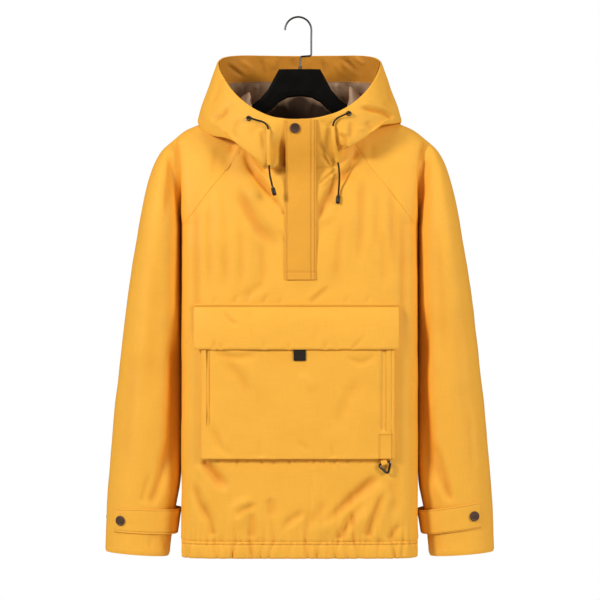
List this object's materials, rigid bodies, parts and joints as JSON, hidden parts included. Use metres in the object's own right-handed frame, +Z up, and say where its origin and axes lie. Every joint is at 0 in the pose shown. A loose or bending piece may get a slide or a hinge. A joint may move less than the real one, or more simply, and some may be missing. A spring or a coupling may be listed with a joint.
{
  "type": "anorak pullover on hanger",
  "caption": "Hooded raglan anorak with a half placket, a flapped kangaroo pocket, gathered hem and strapped cuffs, hanging on a broad hanger.",
  "frame": {"origin": "inner top of the hanger's hook, where a rail holds it; the garment's centre line is at x = 0.0023", "axes": "+Z up, -Y towards the front of the garment, +X to the right as seen from the front"},
  "size_m": [0.6475, 0.2246, 0.8977],
  "materials": {
    "shell_cloth": "woven nylon shell cloth, dull",
    "lining_cloth": "fine plain woven lining, taupe",
    "black_webbing": "narrow woven tape",
    "black_cord": "braided cord",
    "cord_tip_plastic": "moulded, satin",
    "snap_metal": "bronze coloured, satin",
    "black_metal": "black lacquer, half gloss",
    "hanger_plastic": "moulded, fine satin",
    "hook_steel": "blackened wire"
  },
  "bodies": {
    "garment": {"front": "shell_cloth", "back": "shell_cloth", "sleeve_left_shoulder": "shell_cloth", "sleeve_left_upper": "shell_cloth", "sleeve_left_lower": "shell_cloth", "sleeve_right_shoulder": "shell_cloth", "sleeve_right_upper": "shell_cloth", "sleeve_right_lower": "shell_cloth", "hood_left": "shell_cloth", "hood_right": "shell_cloth", "hood_facing_left": "shell_cloth", "hood_facing_right": "shell_cloth", "hood_lining_left": "lining_cloth", "hood_lining_right": "lining_cloth", "tunnel_left": "shell_cloth", "tunnel_right": "shell_cloth", "placket": "shell_cloth", "pocket_front": "shell_cloth", "pocket_gusset": "shell_cloth", "pocket_flap": "shell_cloth", "pocket_tab": "black_webbing", "ring_loop": "shell_cloth", "hem_band": "shell_cloth", "cuff_strap_left": "shell_cloth", "cuff_strap_right": "shell_cloth", "placket_snap": "snap_metal", "cuff_snap_left": "snap_metal", "cuff_snap_right": "snap_metal", "sleeve_snap_left": "snap_metal", "sleeve_snap_right": "snap_metal", "eyelet_left": "black_metal", "eyelet_right": "black_metal", "drawcord_left": "black_cord", "drawcord_right": "black_cord", "cord_tip_left": "cord_tip_plastic", "cord_tip_right": "cord_tip_plastic", "hanger": "hanger_plastic", "hook_collar": "hook_steel", "hook": "hook_steel"},
    "ring": {"ring": "black_metal"}
  },
  "joints": [
    {"name": "ring_swing", "type": "hinge", "parent": "garment", "child": "ring", "pos_m": [0.1405, -0.08935, -0.7362], "axis": [-0.9511, 0, -0.309], "range_deg": [0, 90]}
  ]
}
